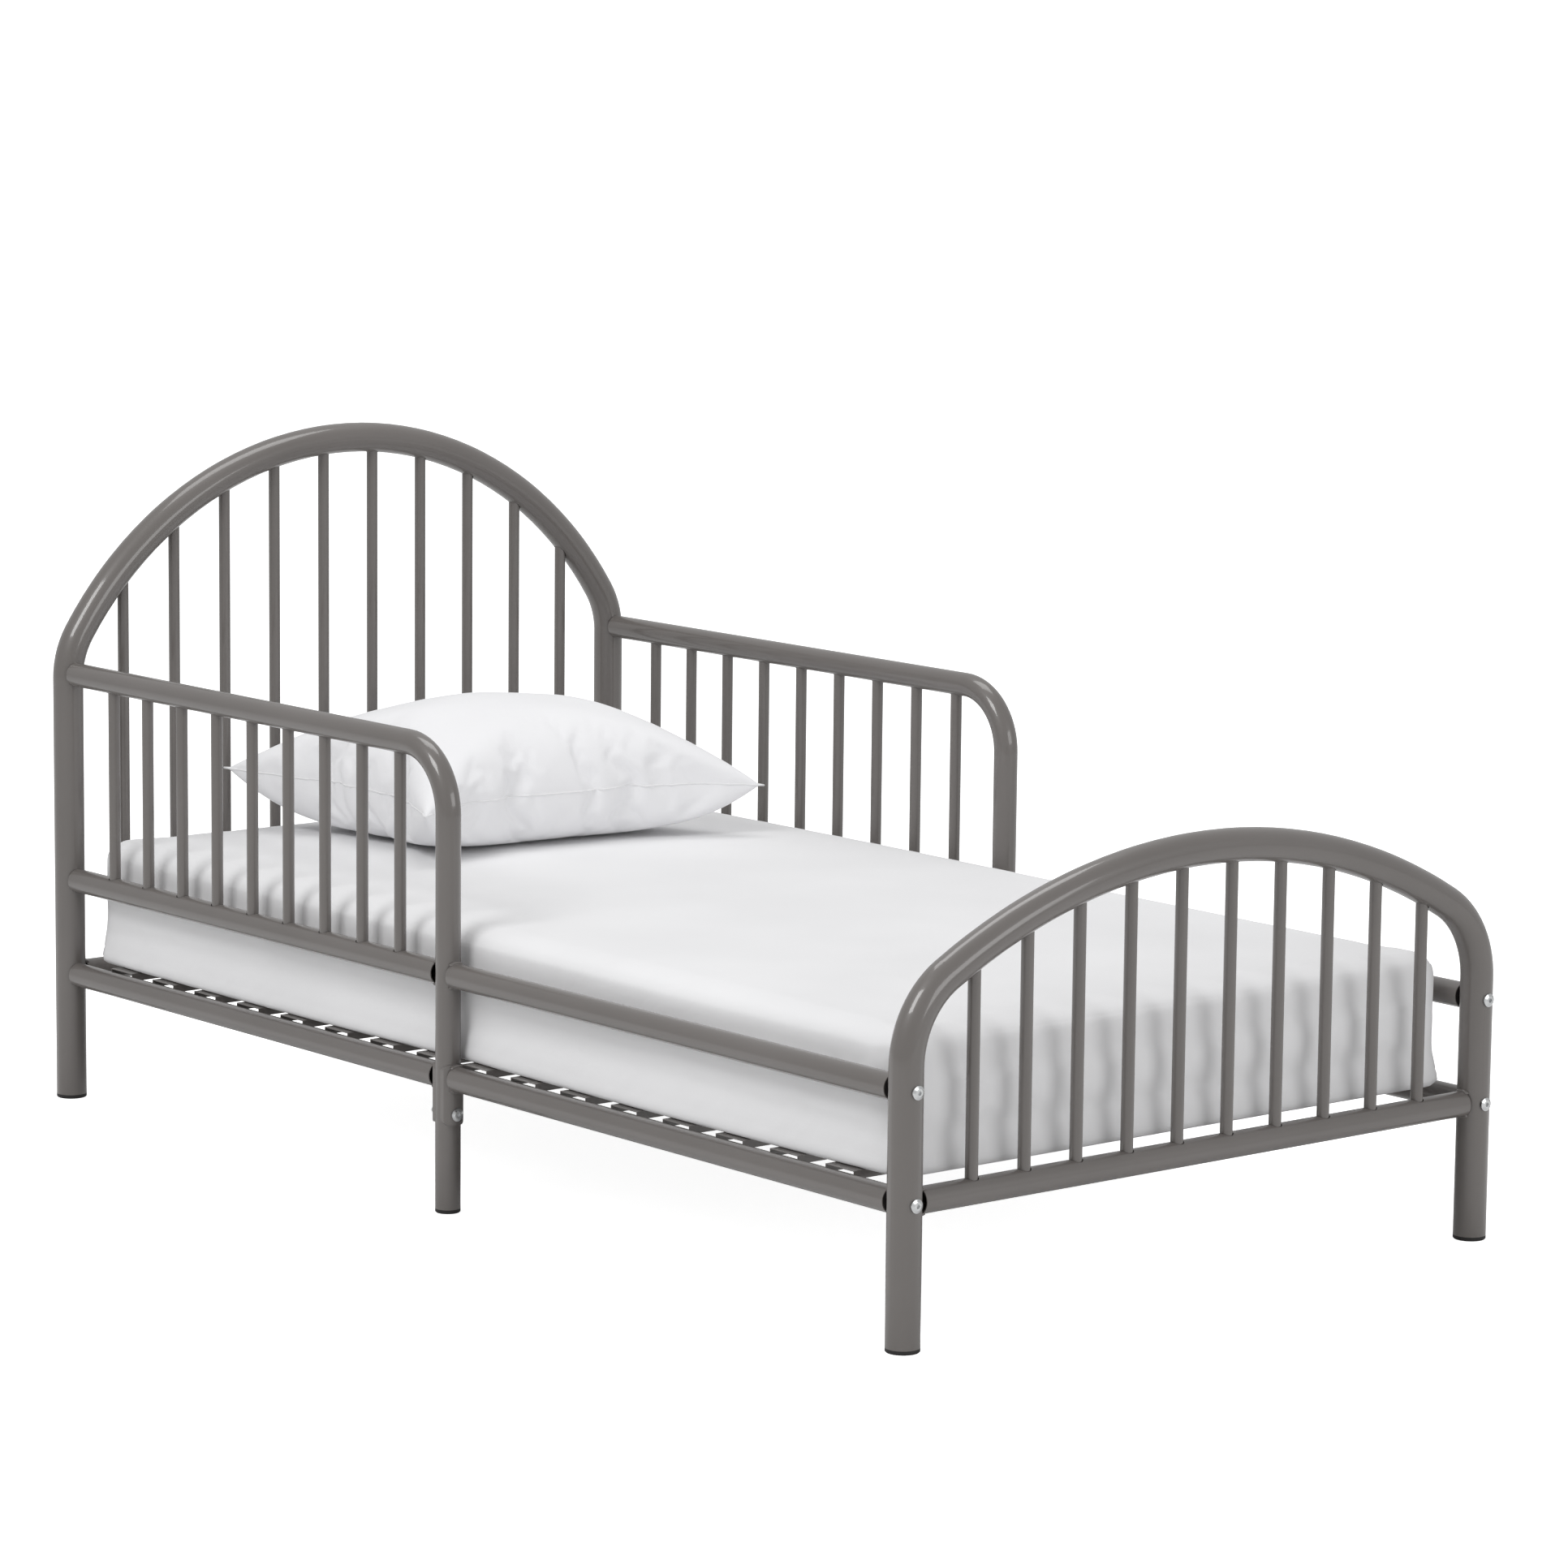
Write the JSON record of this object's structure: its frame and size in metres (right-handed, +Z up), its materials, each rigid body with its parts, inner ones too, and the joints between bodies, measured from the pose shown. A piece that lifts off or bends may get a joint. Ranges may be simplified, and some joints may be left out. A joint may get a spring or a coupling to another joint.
{
  "type": "toddler bed",
  "caption": "Toddler bed of welded and bolted steel tube with arched spindled ends, side guards on the head half, middle legs, slatted deck, mattress and pillow.",
  "frame": {"origin": "centre of the bed's footprint, on the floor", "axes": "+X across the bed, +Y towards the head end, +Z up"},
  "size_m": [0.756, 1.4052, 0.7067],
  "materials": {
    "powder_coat": "semi-gloss warm grey powder coat",
    "black_plastic": "matt",
    "zinc_plate": "bright zinc plate",
    "mattress_sheet": "plain woven cotton",
    "pillow_case": "plain woven cotton"
  },
  "bodies": {
    "bed_frame": {"headboard_hoop": "powder_coat", "headboard_crossbar": "powder_coat", "headboard_spindle_1": "powder_coat", "headboard_spindle_2": "powder_coat", "headboard_spindle_3": "powder_coat", "headboard_spindle_4": "powder_coat", "headboard_spindle_5": "powder_coat", "headboard_spindle_6": "powder_coat", "headboard_spindle_7": "powder_coat", "headboard_spindle_8": "powder_coat", "headboard_spindle_9": "powder_coat", "headboard_spindle_10": "powder_coat", "footboard_hoop": "powder_coat", "footboard_crossbar": "powder_coat", "footboard_spindle_1": "powder_coat", "footboard_spindle_2": "powder_coat", "footboard_spindle_3": "powder_coat", "footboard_spindle_4": "powder_coat", "footboard_spindle_5": "powder_coat", "footboard_spindle_6": "powder_coat", "footboard_spindle_7": "powder_coat", "footboard_spindle_8": "powder_coat", "footboard_spindle_9": "powder_coat", "footboard_spindle_10": "powder_coat", "guard_tube_left": "powder_coat", "guard_tube_right": "powder_coat", "guard_lower_rail_left": "powder_coat", "guard_lower_rail_right": "powder_coat", "guard_spindles_left": "powder_coat", "guard_spindles_right": "powder_coat", "foot_upper_rail_left": "powder_coat", "foot_upper_rail_right": "powder_coat", "head_side_rail_left": "powder_coat", "head_side_rail_right": "powder_coat", "foot_side_rail_left": "powder_coat", "foot_side_rail_right": "powder_coat", "head_slat_1": "powder_coat", "head_slat_2": "powder_coat", "head_slat_3": "powder_coat", "head_slat_4": "powder_coat", "head_slat_5": "powder_coat", "head_slat_6": "powder_coat", "head_slat_7": "powder_coat", "head_slat_8": "powder_coat", "foot_slat_1": "powder_coat", "foot_slat_2": "powder_coat", "foot_slat_3": "powder_coat", "foot_slat_4": "powder_coat", "foot_slat_5": "powder_coat", "foot_slat_6": "powder_coat", "foot_slat_7": "powder_coat", "foot_slat_8": "powder_coat", "saddle_plates": "powder_coat", "leg_caps": "black_plastic", "rail_plugs": "black_plastic", "threaded_inserts": "zinc_plate", "connector_bolts": "zinc_plate", "joint_nuts": "zinc_plate"},
    "mattress": {"mattress": "mattress_sheet"},
    "pillow": {"pillow": "pillow_case"}
  },
  "joints": [
    {"name": "mattress_lift", "type": "slide", "parent": "bed_frame", "child": "mattress", "axis": [0, 0, 1], "range_m": [0, 0.3]},
    {"name": "pillow_lift", "type": "slide", "parent": "mattress", "child": "pillow", "axis": [0, 0, 1], "range_m": [0, 0.2]}
  ]
}
